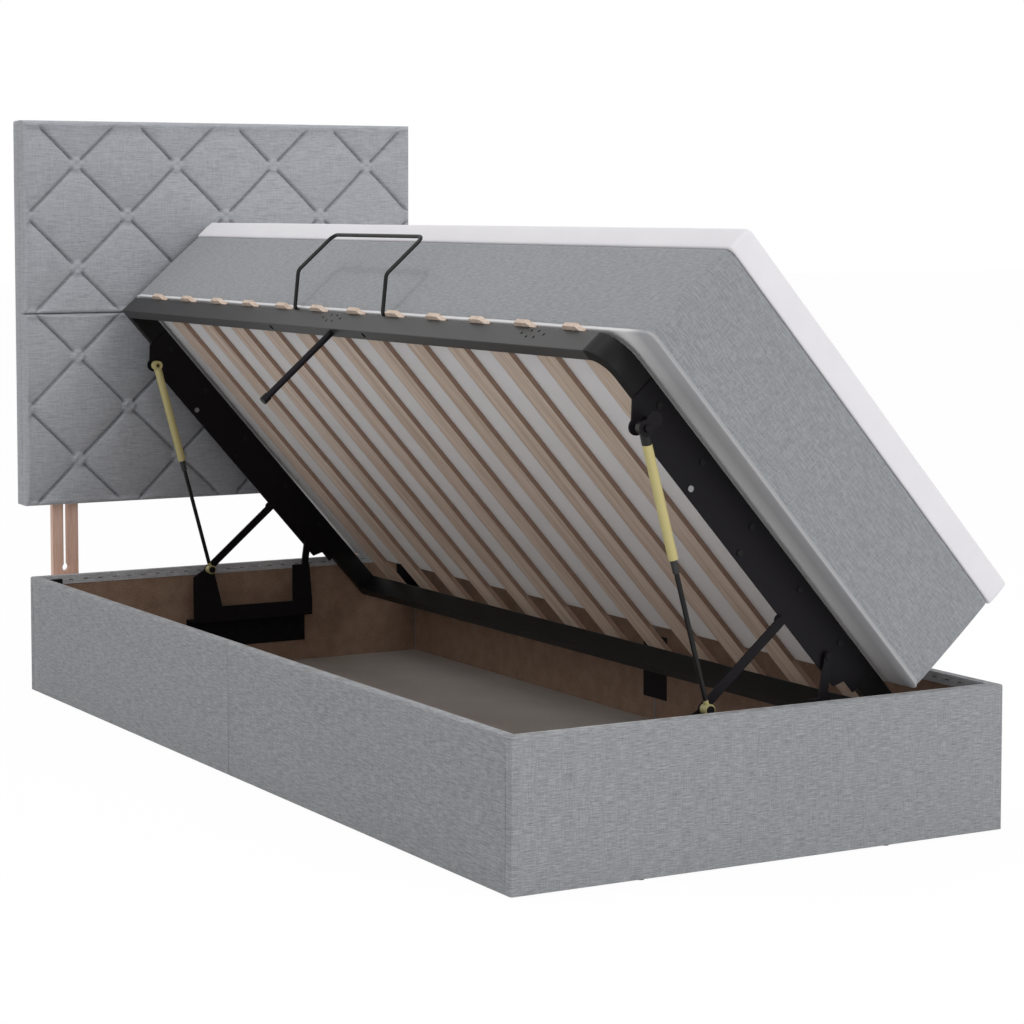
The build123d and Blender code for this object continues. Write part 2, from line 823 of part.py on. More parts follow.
# Topper: a thin pad with a crown both ways
topper_side = lid_side(mattress_head)
topper_end = lid_end(0)
topper_shape = (topper_thickness, topper_crown, topper_edge_radius)
with BuildPart() as topper:
    side_frame = Plane(
        origin=topper_side.from_local_coords((mattress_mid_u, mattress_thickness, 0)),
        x_dir=topper_side.x_dir,
        z_dir=topper_side.z_dir,
    )
    with BuildSketch(side_frame):
        with BuildLine():
            crowned_profile(mattress_width / 2, *topper_shape)
        make_face()
    extrude(amount=mattress_length)
    end_frame = Plane(
        origin=topper_end.from_local_coords((mattress_shift, mattress_thickness, 0)),
        x_dir=topper_end.x_dir,
        z_dir=topper_end.z_dir,
    )
    with BuildSketch(end_frame):
        with BuildLine():
            crowned_profile(mattress_length / 2, *topper_shape)
        make_face()
    extrude(amount=mattress_width, mode=Mode.INTERSECT)
    with BuildSketch(lid_face(mattress_thickness)):
        with Locations((mattress_mid_u, mattress_shift)):
            RectangleRounded(mattress_width, mattress_length, mattress_corner_radius)
    extrude(amount=topper_thickness, mode=Mode.INTERSECT)
topper.part.label = "topper"
export_step(topper.part, "parts/topper.step")

# Links: flat bars with a hole at each pivot that a pin turns in, and a rivet at the far end of the short one
hole_radius = pin_diameter / 2 + pin_clearance


def flat_link(mount, start, end, holes, rivets):
    middle, length, slope = span(start, end)
    with BuildPart() as link:
        with BuildSketch(upright(mount - link_start)):
            with Locations(middle):
                SlotCenterToCenter(length, link_width, rotation=slope)
            with Locations(*holes):
                Circle(hole_radius, mode=Mode.SUBTRACT)
        extrude(amount=link_thickness)
        for place in rivets:
            with BuildSketch(upright(mount - link_start - link_thickness)):
                with Locations(place):
                    Circle(rivet_diameter / 2)
            extrude(amount=rivet_head)
    return link.part


link_top = lid_point(*link_end)
short_top = lid_point(*short_end)
for end_name, mount in mount_faces.items():
    long_link = flat_link(mount, main_pivot, link_top, (main_pivot, link_top), ())
    long_link.label = f"long_link_{end_name}"
    export_step(long_link, f"parts/long_link_{end_name}.step")
    short_link = flat_link(mount, short_pivot, short_top, (short_pivot,), (short_top,))
    short_link.label = f"short_link_{end_name}"
    export_step(short_link, f"parts/short_link_{end_name}.step")

# Gas struts: a cylinder that hangs from the lid plate, its guide collar, and the rod on the box pivot
_, strut_length, _ = span(main_pivot, strut_top)
strut_run, strut_rise = main_pivot[0] - strut_top[0], main_pivot[1] - strut_top[1]
strut_down = (strut_run / strut_length, 0, strut_rise / strut_length)
bore_start = strut_eye_radius + strut_wall / 2


def strut_axis(mount, reach):
    """The plane across the strut at a reach from its upper pivot."""
    centre = (
        strut_top[0] + reach * strut_down[0],
        mount - strut_centre,
        strut_top[1] + reach * strut_down[2],
    )
    return Plane(origin=centre, x_dir=(0, 1, 0), z_dir=strut_down)


def strut_cylinder(mount):
    with BuildPart() as cylinder:
        with BuildSketch(strut_axis(mount, 0)):
            Circle(strut_diameter / 2)
        extrude(amount=strut_reach)
        eye_face = upright(mount - strut_centre + strut_diameter / 2)
        with BuildSketch(eye_face):
            with Locations(strut_top):
                Circle(strut_eye_radius)
        extrude(amount=strut_diameter)
        with BuildSketch(strut_axis(mount, bore_start)):
            Circle(strut_diameter / 2 - strut_wall)
        extrude(amount=strut_reach, mode=Mode.SUBTRACT)
        with BuildSketch(eye_face):
            with Locations(strut_top):
                Circle(hole_radius)
        extrude(amount=strut_diameter, mode=Mode.SUBTRACT)
    return cylinder.part


def strut_rod(mount):
    with BuildPart() as rod:
        with BuildSketch(strut_axis(mount, strut_length - rod_reach)):
            Circle(rod_diameter / 2)
        extrude(amount=rod_reach)
        eye_face = upright(mount - strut_centre + strut_diameter / 2)
        with BuildSketch(eye_face):
            with Locations(main_pivot):
                Circle(rod_eye_radius)
        extrude(amount=strut_diameter)
        with BuildSketch(eye_face):
            with Locations(main_pivot):
                Circle(hole_radius)
        extrude(amount=strut_diameter, mode=Mode.SUBTRACT)
    return rod.part


for end_name, mount in mount_faces.items():
    cylinder_piece = strut_cylinder(mount)
    cylinder_piece.label = f"strut_cylinder_{end_name}"
    export_step(cylinder_piece, f"parts/strut_cylinder_{end_name}.step")
    rod_piece = strut_rod(mount)
    rod_piece.label = f"strut_rod_{end_name}"
    export_step(rod_piece, f"parts/strut_rod_{end_name}.step")

with BuildPart() as strut_collars:
    for mount in mount_faces.values():
        with BuildSketch(strut_axis(mount, strut_reach - collar_overlap)):
            Circle(collar_diameter / 2)
            Circle(rod_diameter / 2 + rod_clearance, mode=Mode.SUBTRACT)
        extrude(amount=collar_reach - strut_reach + collar_overlap)
strut_collars.part.label = "strut_collars"
export_step(strut_collars.part, "parts/strut_collars.step")

# Headboard: two quilted cushions on a board, battens behind it and a back cloth
headboard_height = headboard_top - headboard_bottom
cushion_height = (headboard_height - cushion_seam) / 2
board_face = headboard_front + cushion_depth
leg_face = board_face + headboard_ply
batten_end = leg_face + batten_depth
cell_width = quilt_margin_share * (headboard_width / 2) / quilt_columns
cell_height = cushion_height / (2 * quilt_rows)
crease_slope = degrees(atan2(cell_height, cell_width))
crease_length = hypot(cell_width, cell_height) - crease_gap
crease_cut = crease_depth + cushion_crown / 2
crease_taper = degrees(atan2((crease_width - crease_floor) / 2, crease_cut))


def crease_places():
    """The middles and slopes of the creases between the knots of the lattice, from the cushion's middle."""
    places = []
    for row in range(2 * quilt_rows):
        for column in range(-quilt_columns, quilt_columns):
            rising = 1 if (row + column) % 2 == 0 else -1
            middle = ((column + 1 / 2) * cell_width, (row + 1 / 2 - quilt_rows) * cell_height)
            places.append((middle, rising * crease_slope))
    return places


def quilted_cushion(bottom):
    middle_z = bottom + cushion_height / 2
    half_height = cushion_height / 2
    half = headboard_width / 2
    corner_z = (bottom, bottom + cushion_height)
    shape = (cushion_depth, cushion_crown, cushion_edge_radius)
    with BuildPart() as cushion:
        across = Plane(origin=(0, board_face, bottom), x_dir=(-1, 0, 0), z_dir=(0, 0, 1))
        with BuildSketch(across):
            with BuildLine():
                crowned_profile(half, *shape)
            make_face()
        extrude(amount=cushion_height)
        along = Plane(origin=(-half, board_face, middle_z), x_dir=(0, 0, 1), z_dir=(1, 0, 0))
        with BuildSketch(along):
            with BuildLine():
                crowned_profile(half_height, *shape)
            make_face()
        extrude(amount=headboard_width, mode=Mode.INTERSECT)
        with BuildSketch(upright(board_face)):
            with BuildLine():
                Line((-half, corner_z[0]), (half, corner_z[0]))
                ThreePointArc((half, corner_z[0]), (half - cushion_side_draw, middle_z), (half, corner_z[1]))
                Line((half, corner_z[1]), (-half, corner_z[1]))
                ThreePointArc(
                    (-half, corner_z[1]), (cushion_side_draw - half, middle_z), (-half, corner_z[0])
                )
            make_face()
        extrude(amount=cushion_depth, mode=Mode.INTERSECT)
        with BuildSketch(upright(headboard_front)):
            for (x, z), slope in crease_places():
                with Locations((x, middle_z + z)):
                    SlotCenterToCenter(crease_length, crease_width, rotation=slope)
        extrude(amount=-crease_cut, taper=crease_taper, mode=Mode.SUBTRACT)
    return cushion.part


upper_bottom = headboard_bottom + cushion_height + cushion_seam
upper_quilt = quilted_cushion(upper_bottom)
for cushion_name, lift in (("upper_cushion", 0), ("lower_cushion", headboard_bottom - upper_bottom)):
    cushion_piece = Pos(0, 0, lift) * upper_quilt
    cushion_piece.label = cushion_name
    export_step(cushion_piece, f"parts/{cushion_name}.step")

bolt_heights = (guide_bolt_low, guide_bolt_high)
guide_places = [(side * leg_centre, z) for side in (-1, 1) for z in bolt_heights]
with BuildPart() as headboard_board:
    with BuildSketch(upright(leg_face)):
        with Locations((0, headboard_bottom + headboard_height / 2)):
            Rectangle(headboard_width - 2 * cushion_edge_radius, headboard_height - cushion_edge_radius)
    extrude(amount=headboard_ply)
headboard_board.part.label = "headboard_board"
export_step(headboard_board.part, "parts/headboard_board.step")

frame_side = headboard_width / 2 - cushion_edge_radius
frame_bottom = headboard_bottom + cushion_edge_radius / 2
frame_top = headboard_top - cushion_edge_radius / 2
leg_outer = leg_centre + leg_width / 2 + leg_passage
leg_inner = leg_centre - leg_width / 2 - leg_passage
frame_height = frame_top - frame_bottom
with BuildPart() as headboard_battens:
    with BuildSketch(upright(batten_end)):
        for side in (-1, 1):
            with Locations((side * (frame_side + leg_outer) / 2, frame_bottom + frame_height / 2)):
                Rectangle(frame_side - leg_outer, frame_height)
        with Locations((0, frame_top - batten_face / 2)):
            Rectangle(2 * (leg_outer - batten_joint), batten_face)
        with Locations((0, frame_bottom + batten_face / 2)):
            Rectangle(2 * leg_inner, batten_face)
    extrude(amount=batten_depth)
headboard_battens.part.label = "headboard_battens"
export_step(headboard_battens.part, "parts/headboard_battens.step")

with BuildPart() as headboard_back_cloth:
    with BuildSketch(upright(batten_end + back_cover_thickness)):
        with Locations((0, headboard_bottom + headboard_height / 2)):
            Rectangle(2 * frame_side, frame_height)
    extrude(amount=back_cover_thickness)
headboard_back_cloth.part.label = "headboard_back_cloth"
export_step(headboard_back_cloth.part, "parts/headboard_back_cloth.step")

leg_front = leg_face + leg_play
leg_back = leg_front + leg_thickness
washer_back = leg_back + leg_play + guide_washer_thickness
with BuildPart() as guide_bolts:
    with BuildSketch(upright(washer_back)):
        with Locations(*guide_places):
            Circle(guide_bolt_diameter / 2)
    extrude(amount=washer_back - leg_face)
    with BuildSketch(upright(washer_back)):
        with Locations(*guide_places):
            Circle(guide_washer_diameter / 2)
    extrude(amount=guide_washer_thickness)
    with BuildSketch(upright(washer_back + guide_nut_thickness)):
        with Locations(*guide_places):
            RegularPolygon(guide_bolt_diameter, 6)
    extrude(amount=guide_nut_thickness)
guide_bolts.part.label = "guide_bolts"
export_step(guide_bolts.part, "parts/guide_bolts.step")


def headboard_leg(side):
    centre = side * leg_centre
    with BuildPart() as leg:
        with BuildSketch(upright(leg_back)):
            with Locations((centre, (leg_bottom + leg_top) / 2)):
                Rectangle(leg_width, leg_top - leg_bottom)
            with Locations((centre, (slot_bottom + slot_top) / 2)):
                SlotOverall(slot_top - slot_bottom, slot_width, rotation=90, mode=Mode.SUBTRACT)
            with Locations((centre, slot_bottom + slot_width / 2)):
                Circle(slot_hole_diameter / 2, mode=Mode.SUBTRACT)
        extrude(amount=leg_thickness)
    return leg.part


for leg_name, side in (("left", -1), ("right", 1)):
    leg_piece = headboard_leg(side)
    leg_piece.label = f"headboard_leg_{leg_name}"
    export_step(leg_piece, f"parts/headboard_leg_{leg_name}.step")

with BuildPart() as leg_spacers:
    with BuildSketch(upright(leg_front)):
        with Locations(*[(side * leg_centre, (spacer_bottom + spacer_top) / 2) for side in (-1, 1)]):
            Rectangle(spacer_width, spacer_top - spacer_bottom)
    extrude(amount=leg_front - half_length)
leg_spacers.part.label = "leg_spacers"
export_step(leg_spacers.part, "parts/leg_spacers.step")

with BuildPart() as leg_bolts:
    with BuildSketch(upright(leg_back + bolt_head)):
        with Locations(*[(side * leg_centre, z) for side in (-1, 1) for z in (leg_bolt_low, leg_bolt_high)]):
            RegularPolygon(bolt_diameter / 2, 6)
    extrude(amount=bolt_head)
leg_bolts.part.label = "leg_bolts"
export_step(leg_bolts.part, "parts/leg_bolts.step")
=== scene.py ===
import bmesh
import bpy
import math
from mathutils import Matrix, Vector, noise


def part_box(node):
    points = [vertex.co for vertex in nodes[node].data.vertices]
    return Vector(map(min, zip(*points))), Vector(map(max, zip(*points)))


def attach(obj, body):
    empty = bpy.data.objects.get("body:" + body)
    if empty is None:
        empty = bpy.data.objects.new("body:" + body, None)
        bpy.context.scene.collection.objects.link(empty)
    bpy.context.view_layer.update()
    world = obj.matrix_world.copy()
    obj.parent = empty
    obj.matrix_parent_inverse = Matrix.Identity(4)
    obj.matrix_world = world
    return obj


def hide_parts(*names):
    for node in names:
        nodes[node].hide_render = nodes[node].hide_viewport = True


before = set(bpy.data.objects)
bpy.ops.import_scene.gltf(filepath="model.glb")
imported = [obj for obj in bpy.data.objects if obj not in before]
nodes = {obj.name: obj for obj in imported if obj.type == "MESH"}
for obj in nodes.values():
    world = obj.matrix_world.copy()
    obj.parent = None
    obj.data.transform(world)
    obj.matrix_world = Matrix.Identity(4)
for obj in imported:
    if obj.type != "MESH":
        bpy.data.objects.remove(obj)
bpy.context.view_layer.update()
scene = bpy.context.scene
scene.view_settings.view_transform = "Standard"

# camera at the photo's angle
view = {"place": (-2.38891, -4.41715, 0.98962), "yaw": 29.595, "down": 4.161, "lens": 97.777, "sensor": 36,
        "shift": -0.0996}
lensData = bpy.data.cameras.new("bedCamera")
lensData.lens = view["lens"]
lensData.sensor_width = view["sensor"]
lensData.shift_y = view["shift"]
bedCamera = bpy.data.objects.new("bedCamera", lensData)
scene.collection.objects.link(bedCamera)
bedCamera.location = view["place"]
bedCamera.rotation_euler = (math.radians(90 - view["down"]), 0, math.radians(-view["yaw"]))
scene.camera = bedCamera

# the open lid's own plane: its near edge, and the turn that lays flat pieces on it
lid = {"angle": math.radians(48.7), "edge": (-0.215, 0, 0.807)}
lidMatrix = Matrix.Translation(lid["edge"]) @ Matrix.Rotation(lid["angle"], 4, "Y")


class Value:
    def __init__(self, paint, socket):
        self.paint, self.socket = paint, socket

    def calc(self, operation, *inputs):
        return self.paint.add("ShaderNodeMath", {"operation": operation}, dict(enumerate(inputs)))

    def __add__(self, other):
        return self.calc("ADD", self, other)

    def __sub__(self, other):
        return self.calc("SUBTRACT", self, other)

    def __rsub__(self, other):
        return self.calc("SUBTRACT", other, self)

    def __mul__(self, other):
        return self.calc("MULTIPLY", self, other)

    def limit(self):
        return self.calc("MINIMUM", self.calc("MAXIMUM", self, 0), 1)


class Paint:
    def __init__(self, owner):
        owner.use_nodes = True
        self.owner, self.tree = owner, owner.node_tree
        self.tree.nodes.clear()

    def add(self, kind, settings, inputs, output=0):
        node = self.tree.nodes.new(kind)
        for name, value in settings.items():
            if name == "stops":
                ramp = node.color_ramp
                while len(ramp.elements) < len(value):
                    ramp.elements.new(0.5)
                for stop, (place, colour) in zip(ramp.elements, value):
                    stop.position, stop.color = place, colour
            else:
                setattr(node, name, value)
        for name, value in inputs.items():
            if isinstance(value, Value):
                self.tree.links.new(value.socket, node.inputs[name])
            else:
                node.inputs[name].default_value = value
        return Value(self, node.outputs[output]) if len(node.outputs) else None

    def place(self, turned=False):
        spot = self.add("ShaderNodeTexCoord", {}, {}, 3)
        if turned:
            spot = self.add("ShaderNodeMapping", {}, {"Vector": spot, "Rotation": (0, -lid["angle"], 0)})
        return spot

    def axis(self, spot, index):
        return self.add("ShaderNodeSeparateXYZ", {}, {0: spot}, index)

    def stretch(self, spot, scale):
        return self.add("ShaderNodeVectorMath", {"operation": "MULTIPLY"}, {0: spot, 1: scale})

    def noise(self, spot, scale, detail, rough=0.55):
        return self.add("ShaderNodeTexNoise", {}, {
            "Vector": self.stretch(spot, scale), "Scale": 1, "Detail": detail, "Roughness": rough})

    def ramp(self, factor, *stops):
        return self.add("ShaderNodeValToRGB", {"stops": stops}, {0: factor})

    def mix(self, factor, first, second):
        return self.add("ShaderNodeMix", {"data_type": "RGBA"}, {0: factor, 6: first, 7: second}, 2)

    def bump(self, height, strength, distance, normal=None):
        inputs = {"Height": height, "Strength": strength, "Distance": distance}
        if normal:
            inputs["Normal"] = normal
        return self.add("ShaderNodeBump", {}, inputs)

    def roundEdges(self, radius):
        return self.add("ShaderNodeBevel", {"samples": 4}, {"Radius": radius})

    def rayShare(self):  # 1 for the rays that should meet plain white
        rays = self.add("ShaderNodeLightPath", {}, {}).socket.node.outputs
        seen, mirrored, through = (Value(self, rays[f"Is {kind} Ray"]) for kind in ("Camera", "Glossy", "Transmission"))
        return seen + mirrored + through

    def surface(self, **inputs):
        words = {name.replace("_", " "): value for name, value in inputs.items()}
        shader = self.add("ShaderNodeBsdfPrincipled", {}, words)
        self.add("ShaderNodeOutputMaterial", {}, {"Surface": shader})
        return self.owner


def grey(level):
    return (level, level, level, 1)


# the quilting's lattice on both cushions, and painted shade: dark lines along its creases
quilt = {"across": 0.1113, "up": 0.107, "offset": (0.0072, 0.0015), "lowMiddle": 0.5738, "joint": 0.772,
         "lift": 0.3964, "faceEnd": 1.036, "faceTop": 1.157, "topFade": 150, "lineSharp": 480, "hubGap": 0.009,
         "hubFade": 90, "creaseShadeDepth": 0.5, "creaseShadeTone": (0.10, 0.105, 0.118, 1)}
quiltSlope = math.hypot(1 / quilt["across"], 1 / quilt["up"]) / 2


# painted shade along the quilting's creases, fading before each crossing
def paintedCreaseShade(paint, spot):
    x, y, height = (paint.axis(spot, index) for index in range(3))
    z = height - height.calc("GREATER_THAN", height, quilt["joint"]) * quilt["lift"]
    flat = (x - quilt["offset"][0]) * (0.5 / quilt["across"])
    steep = (z - (quilt["lowMiddle"] + quilt["offset"][1])) * (0.5 / quilt["up"])
    fall, rise = (part.calc("PINGPONG", part, 0.5) * (1 / quiltSlope) for part in (flat + steep, flat - steep))

    def line(gap, cross):  # a line breaks off just before the crossing
        return (1 - gap * quilt["lineSharp"]).limit() * ((cross - quilt["hubGap"]) * quilt["hubFade"]).limit()

    lines = line(fall, rise) + line(rise, fall)
    below = ((quilt["faceTop"] - height) * quilt["topFade"]).limit()
    return lines * y.calc("LESS_THAN", y, quilt["faceEnd"]) * below


# crossing threads: of the share both have, lean is what runs across
weaveLook = {"run": 44, "thread": 900, "lean": 0.46, "threads": 0.66, "slub": 0.14, "slubRun": 3, "speck": 0.2,
             "span": (0.42, 0.58), "dark": (0.214, 0.219, 0.230, 1), "light": (0.382, 0.391, 0.409, 1),
             "cloud": (3, 3, 3), "cloudDepth": 0.25, "cloudTone": (0.8, 0.8, 0.8), "relief": 0.5, "bump": 0.0012,
             "rough": 0.78, "roughSpan": 0.2, "sheen": 0.2, "sheenRough": 0.5, "gloss": 0.2}


def weave(name, changes, turned=False, creaseShaded=False):
    look = {**weaveLook, **changes}
    paint = Paint(bpy.data.materials.new(name))
    spot = paint.place(turned)
    run, thread, slubRun = look["run"], look["thread"], look["run"] * look["slubRun"]
    weft = paint.noise(spot, (run, run, thread), 3)
    warp = paint.noise(spot, (thread, thread, run), 3)
    slub = paint.noise(spot, (slubRun, slubRun, thread / 2), 2)
    speck = paint.noise(spot, (thread, thread, thread), 1)
    cloud = paint.noise(spot, look["cloud"], 2)
    heather = weft * look["lean"] + warp * (look["threads"] - look["lean"])
    heather = heather + slub * look["slub"] + speck * look["speck"]
    dark, light = look["dark"], look["light"]
    middle = [(a + b) / 2 for a, b in zip(dark, light)]
    colour = paint.ramp(heather, (look["span"][0], dark), (0.5, middle), (look["span"][1], light))
    colour = paint.mix(cloud * look["cloudDepth"], colour, paint.stretch(colour, look["cloudTone"]))
    if creaseShaded:
        # painted shade: the cloth is darkened along the creases, where shade falls
        colour = paint.mix(paintedCreaseShade(paint, spot) * quilt["creaseShadeDepth"], colour, quilt["creaseShadeTone"])
    normal = paint.bump(heather, look["relief"], look["bump"])
    return paint.surface(Base_Color=colour, Roughness=heather * look["roughSpan"] + look["rough"], Normal=normal,
                         Sheen_Weight=look["sheen"], Sheen_Roughness=look["sheenRough"],
                         Specular_IOR_Level=look["gloss"])


# fine loops with soft patches of tone
knitLook = {"loops": (900, 900, 900), "patches": (14, 9, 14), "loopShare": 0.35, "bump": 0.002, "rough": 0.8,
            "roughSpan": 0.1, "sheenRough": 0.4, "gloss": 0.2, "footShadeFade": 25}


def knit(name, changes, turned=False):
    look = {**knitLook, **changes}
    paint = Paint(bpy.data.materials.new(name))
    spot = paint.place(turned)
    loops = paint.noise(spot, look["loops"], 1)
    soft = paint.noise(spot, look["patches"], 3)
    colour = paint.mix(soft, look["dark"], look["light"])
    if "foot" in look:  # painted shade: the cloth turns greyer past the frame's foot
        past = ((look["foot"] - paint.axis(spot, 1)) * look["footShadeFade"]).limit()
        colour = paint.mix(past, colour, look["footShadeTone"])
    normal = paint.bump(loops * look["loopShare"] + soft, look["relief"], look["bump"])
    return paint.surface(Base_Color=colour, Roughness=loops * look["roughSpan"] + look["rough"], Normal=normal,
                         Sheen_Weight=look["sheen"], Sheen_Roughness=look["sheenRough"],
                         Specular_IOR_Level=look["gloss"])


# fibres, bands and pores drawn long along the wood
grainLook = {"shares": (0.5, 0.35, 0.15), "stops": (0.38, 0.5, 0.63), "sawn": (0.34, 0.225, 0.165, 1),
             "fibreHeight": 0.7, "poreHeight": 0.3, "bump": 0.0006, "roughSpan": 0.2, "gloss": 0.35}


def grain(name, changes, turned=False):
    look = {**grainLook, **changes}
    paint = Paint(bpy.data.materials.new(name))
    spot = paint.place(turned)
    fibre = paint.noise(spot, look["fine"], 3, 0.6)
    bands = paint.noise(spot, look["coarse"], 3, 0.5)
    pores = paint.noise(spot, [2 * scale for scale in look["fine"]], 1)
    fibreShare, bandShare, poreShare = look["shares"]
    figure = fibre * fibreShare + bands * bandShare + pores * poreShare
    mark = paint.ramp(figure, *zip(look["stops"], (look["dark"], look["mid"], look["light"])))
    if "rows" in look:  # the sawn long sides are browner
        first, pitch, half = look["rows"]
        away = paint.axis(spot, 1) - first
        away = away.calc("PINGPONG", away, pitch / 2)
        mark = paint.mix(away.calc("GREATER_THAN", away, half), mark, look["sawn"])
    height = fibre * look["fibreHeight"] + pores * look["poreHeight"]
    normal = paint.bump(height, look["relief"], look["bump"], paint.roundEdges(look["edge"]))
    return paint.surface(Base_Color=mark, Roughness=fibre * look["roughSpan"] + look["rough"], Normal=normal,
                         Specular_IOR_Level=look["gloss"])


# coated or bare metal with faint wear
coatLook = {"peel": (260, 260, 260), "wear": (5, 5, 5), "relief": 0.12, "bump": 0.0006, "roughSpan": 0.16,
            "gloss": 0.5, "metal": 0.0, "endMetal": 0}


def powderCoat(name, changes):
    look = {**coatLook, **changes}
    paint = Paint(bpy.data.materials.new(name))
    spot = paint.place()
    peel = paint.noise(spot, look["peel"], 2)
    wear = paint.noise(spot, look["wear"], 4, 0.6)
    colour, metal = paint.mix(wear, look["dark"], look["light"]), look["metal"]
    if "end" in look:  # another finish round one end, seen along the bed
        flat = paint.stretch(spot, (1, 0, 1))
        away = paint.add("ShaderNodeVectorMath", {"operation": "DISTANCE"}, {0: flat, 1: look["end"]}, 1)
        near = away.calc("LESS_THAN", away, look["endReach"])
        colour, metal = paint.mix(near, colour, look["endTone"]), near * look["endMetal"]
    normal = paint.bump(peel, look["relief"], look["bump"], paint.roundEdges(look["edge"]))
    return paint.surface(Base_Color=colour, Roughness=wear * look["roughSpan"] + look["rough"], Metallic=metal,
                         Normal=normal, Specular_IOR_Level=look["gloss"])


boxWeave = weave("boxWeave", {})
# painted light: the fold inside the rim is the box cloth in a lighter copy, for light falling inside the box
foldLitWeave = weave("boxFoldLit", {"dark": (0.36, 0.37, 0.385, 1), "light": (0.62, 0.63, 0.655, 1)})
boardLook = {"run": 30, "thread": 760, "span": (0.4, 0.6), "lean": 0.42,
             "dark": (0.298, 0.308, 0.334, 1), "light": (0.462, 0.476, 0.51, 1)}
boardWeave = weave("headboardWeave", boardLook, creaseShaded=True)
edgeWeave = weave("headboardEdgeWeave", boardLook)
borderWeave = weave("mattressWeave", {"run": 60, "thread": 700, "lean": 0.4,
                                      "dark": (0.228, 0.238, 0.252, 1), "light": (0.332, 0.345, 0.366, 1)}, True)
# the underside cloth carries painted shade past the frame's foot
underKnit = knit("mattressUnderCloth", {"dark": (0.70, 0.69, 0.70, 1), "light": (0.82, 0.81, 0.82, 1), "relief": 0.15,
                                        "sheen": 0.1, "foot": -0.925, "footShadeTone": (0.41, 0.41, 0.425, 1)}, True)
topperKnit = knit("topperKnit", {"dark": (0.75, 0.735, 0.765, 1), "light": (0.83, 0.815, 0.84, 1), "relief": 0.2,
                                 "sheen": 0.25}, True)
backFelt = knit("backCloth", {"dark": grey(0.03), "light": grey(0.05), "relief": 0.4, "sheen": 0.1})
slatWood = grain("slatBirch", {
    "fine": (9, 420, 420), "coarse": (2.2, 60, 60), "relief": 0.2, "rough": 0.42, "edge": 0.0012,
    "dark": (0.50, 0.37, 0.29, 1), "mid": (0.65, 0.52, 0.425, 1), "light": (0.76, 0.64, 0.55, 1),
    "rows": (-0.7855, 0.149, 0.0288)}, True)
beechWood = grain("legBeech", {
    "fine": (380, 380, 12), "coarse": (60, 60, 2.5), "relief": 0.2, "rough": 0.4, "edge": 0.002,
    "dark": (0.68, 0.43, 0.33, 1), "mid": (0.80, 0.54, 0.43, 1), "light": (0.88, 0.65, 0.54, 1)})
boardWood = grain("boxBoard", {
    "fine": (300, 300, 300), "coarse": (40, 40, 40), "relief": 0.3, "rough": 0.6, "edge": 0.001,
    "dark": (0.22, 0.138, 0.094, 1), "mid": (0.29, 0.19, 0.132, 1), "light": (0.35, 0.24, 0.178, 1)})
hardWood = grain("floorBoard", {
    "fine": (240, 240, 240), "coarse": (8, 8, 8), "relief": 0.2, "rough": 0.5, "edge": 0.001,
    "dark": (0.38, 0.34, 0.31, 1), "mid": (0.43, 0.39, 0.36, 1), "light": (0.48, 0.44, 0.41, 1)})
battenWood = grain("battenPine", {
    "fine": (12, 300, 300), "coarse": (3, 50, 50), "relief": 0.3, "rough": 0.55, "edge": 0.001,
    "dark": (0.42, 0.28, 0.15, 1), "mid": (0.56, 0.41, 0.25, 1), "light": (0.66, 0.52, 0.34, 1)})
# painted light and shade: the rails are one black steel in two tones, the near rail's copy lighter as lit, the other
# rails' copy darker as shaded
railLook = {"dark": grey(0.007), "light": grey(0.011), "rough": 0.36, "edge": 0.0028, "gloss": 0.13}
nearRailLitPaint = powderCoat("nearRailLitPaint", {**railLook, "dark": grey(0.028), "light": grey(0.045), "gloss": 0.33})
railShadedPaint = powderCoat("railShadedPaint", railLook)
blackSteel = powderCoat("blackSteel", {
    "dark": (0.006, 0.005, 0.0065, 1), "light": (0.0095, 0.008, 0.010, 1),
    "rough": 0.36, "edge": 0.0006, "gloss": 0.11})
wirePaint = powderCoat("wirePaint", {
    "dark": grey(0.005), "light": grey(0.009), "rough": 0.28, "edge": 0.0003, "gloss": 0.25})
strutLook = {"dark": (0.46, 0.40, 0.17, 1), "light": (0.56, 0.49, 0.23, 1), "rough": 0.34, "edge": 0.0008}
strutPaint = powderCoat("strutPaint", strutLook)
footStrutPaint = powderCoat("footStrutPaint", {
    **strutLook, "gloss": 0.3,
    "end": lidMatrix @ Vector((0.121, 0, -0.078)), "endReach": 0.027, "endTone": grey(0.007)})
rodSteel = powderCoat("rodSteel", {
    "dark": grey(0.006), "light": grey(0.010), "rough": 0.24, "edge": 0.0003, "gloss": 0.22,
    "end": (-0.077, 0, 0.233), "endReach": 0.015, "endTone": (0.42, 0.38, 0.18, 1)})
zincSteel = powderCoat("zincSteel", {
    "dark": grey(0.45), "light": grey(0.6), "rough": 0.3, "edge": 0.0005, "metal": 1.0})
plateBolts = powderCoat("plateBolts", {
    "dark": grey(0.008), "light": grey(0.012), "rough": 0.36, "edge": 0.0005, "gloss": 0.14,
    "end": lidMatrix @ Vector((0.257, 0, -0.07)), "endReach": 0.014, "endTone": grey(0.26), "endMetal": 0.5})
stapleWire = powderCoat("stapleWire", {
    "dark": grey(0.02), "light": grey(0.05), "rough": 0.4, "edge": 0.0002, "metal": 0.5})
blackPlastic = powderCoat("blackPlastic", {"dark": grey(0.012), "light": grey(0.02), "rough": 0.5, "edge": 0.0004})
print("materials ready")


def dress(names, material):
    for name in names:
        for seat in nodes[name].material_slots:
            seat.material = material


